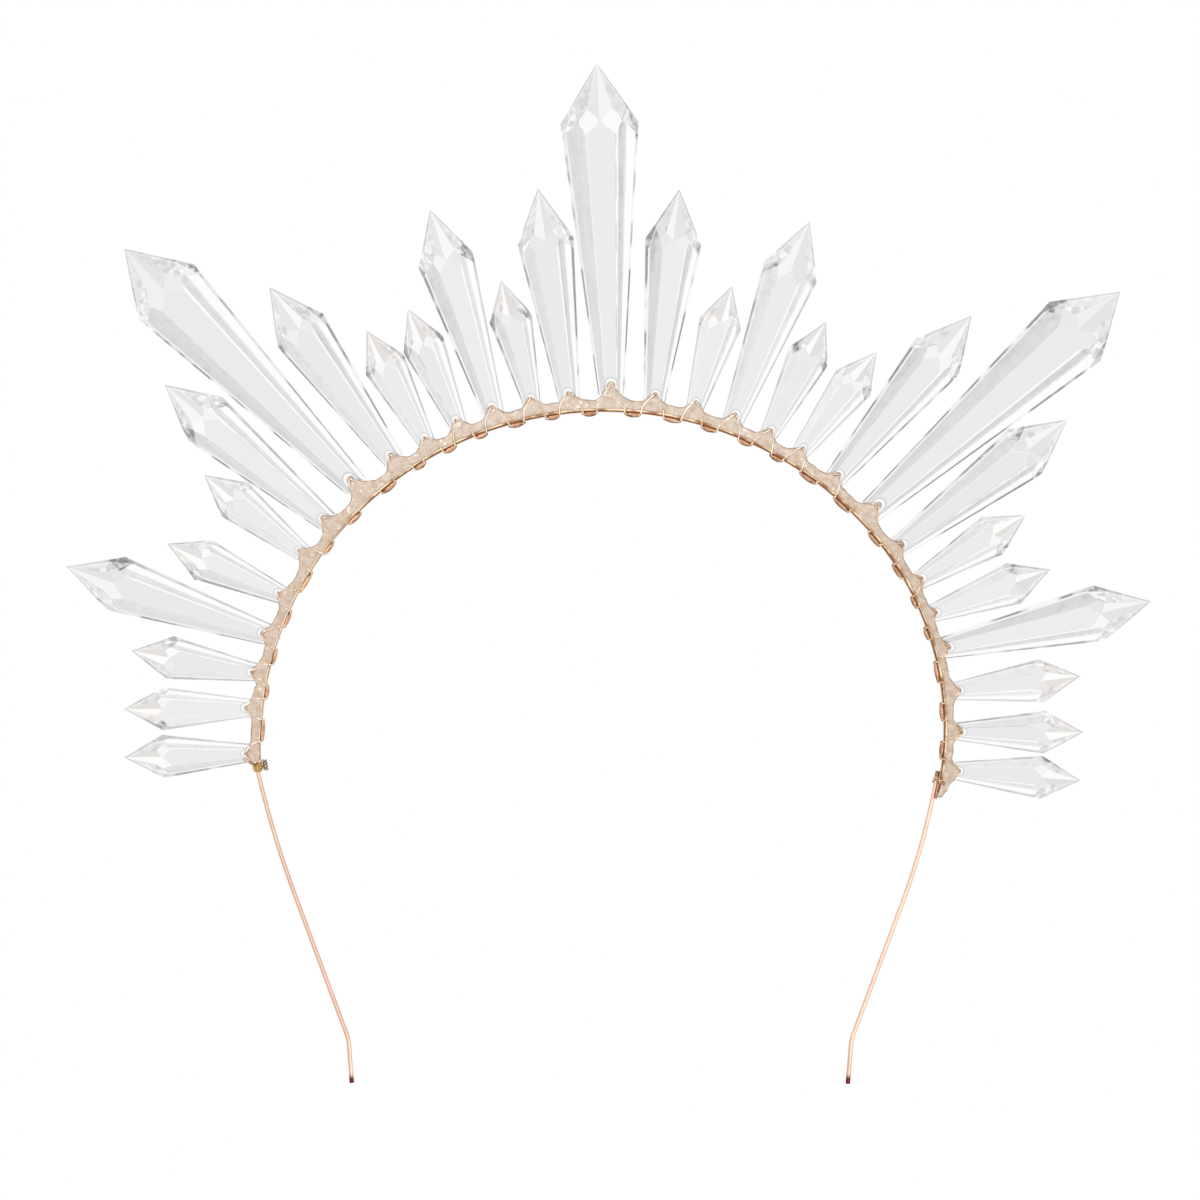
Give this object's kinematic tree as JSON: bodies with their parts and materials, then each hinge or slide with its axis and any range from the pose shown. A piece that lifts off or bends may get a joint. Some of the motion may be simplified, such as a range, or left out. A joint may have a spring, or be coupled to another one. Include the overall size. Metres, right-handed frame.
{
  "type": "halo crown",
  "caption": "Halo crown: clear pointed faceted drops in three lengths, laced with gold wire and glued round the outside of an arched metal strip with two wire legs.",
  "frame": {"origin": "middle of the crown's box, on the surface that the crown lies on", "axes": "+X to the right and +Y to the crown's top as seen from the front, +Z out of the front face, up from the surface"},
  "size_m": [0.3254, 0.3064, 0.0117],
  "materials": {
    "clear_drop": "clear moulded acrylic, polished",
    "resin": "cured clear glue over copper and gold, satin",
    "band": "copper-coloured strip, satin",
    "lacing_wire": "gold-coloured wire, polished",
    "knot_wire": "bronze-gold wire, polished",
    "leg_wire": "rose-gold wire, polished"
  },
  "bodies": {
    "root": {"band": "band", "resin": "resin", "leg_left": "leg_wire", "leg_right": "leg_wire", "lacing_front": "lacing_wire", "lacing_back": "lacing_wire", "knot_left": "knot_wire", "binding_right": "lacing_wire", "drop_01_small": "clear_drop", "drop_02_small": "clear_drop", "drop_03_small": "clear_drop", "drop_04_medium": "clear_drop", "drop_05_small": "clear_drop", "drop_06_small": "clear_drop", "drop_07_medium": "clear_drop", "drop_08_large": "clear_drop", "drop_09_medium": "clear_drop", "drop_10_small": "clear_drop", "drop_11_small": "clear_drop", "drop_12_medium": "clear_drop", "drop_13_small": "clear_drop", "drop_14_medium": "clear_drop", "drop_15_large": "clear_drop", "drop_16_medium": "clear_drop", "drop_17_small": "clear_drop", "drop_18_medium": "clear_drop", "drop_19_small": "clear_drop", "drop_20_small": "clear_drop", "drop_21_medium": "clear_drop", "drop_22_large": "clear_drop", "drop_23_medium": "clear_drop", "drop_24_small": "clear_drop", "drop_25_small": "clear_drop", "drop_26_medium": "clear_drop", "drop_27_small": "clear_drop", "drop_28_small": "clear_drop", "drop_29_small": "clear_drop"}
  },
  "joints": []
}
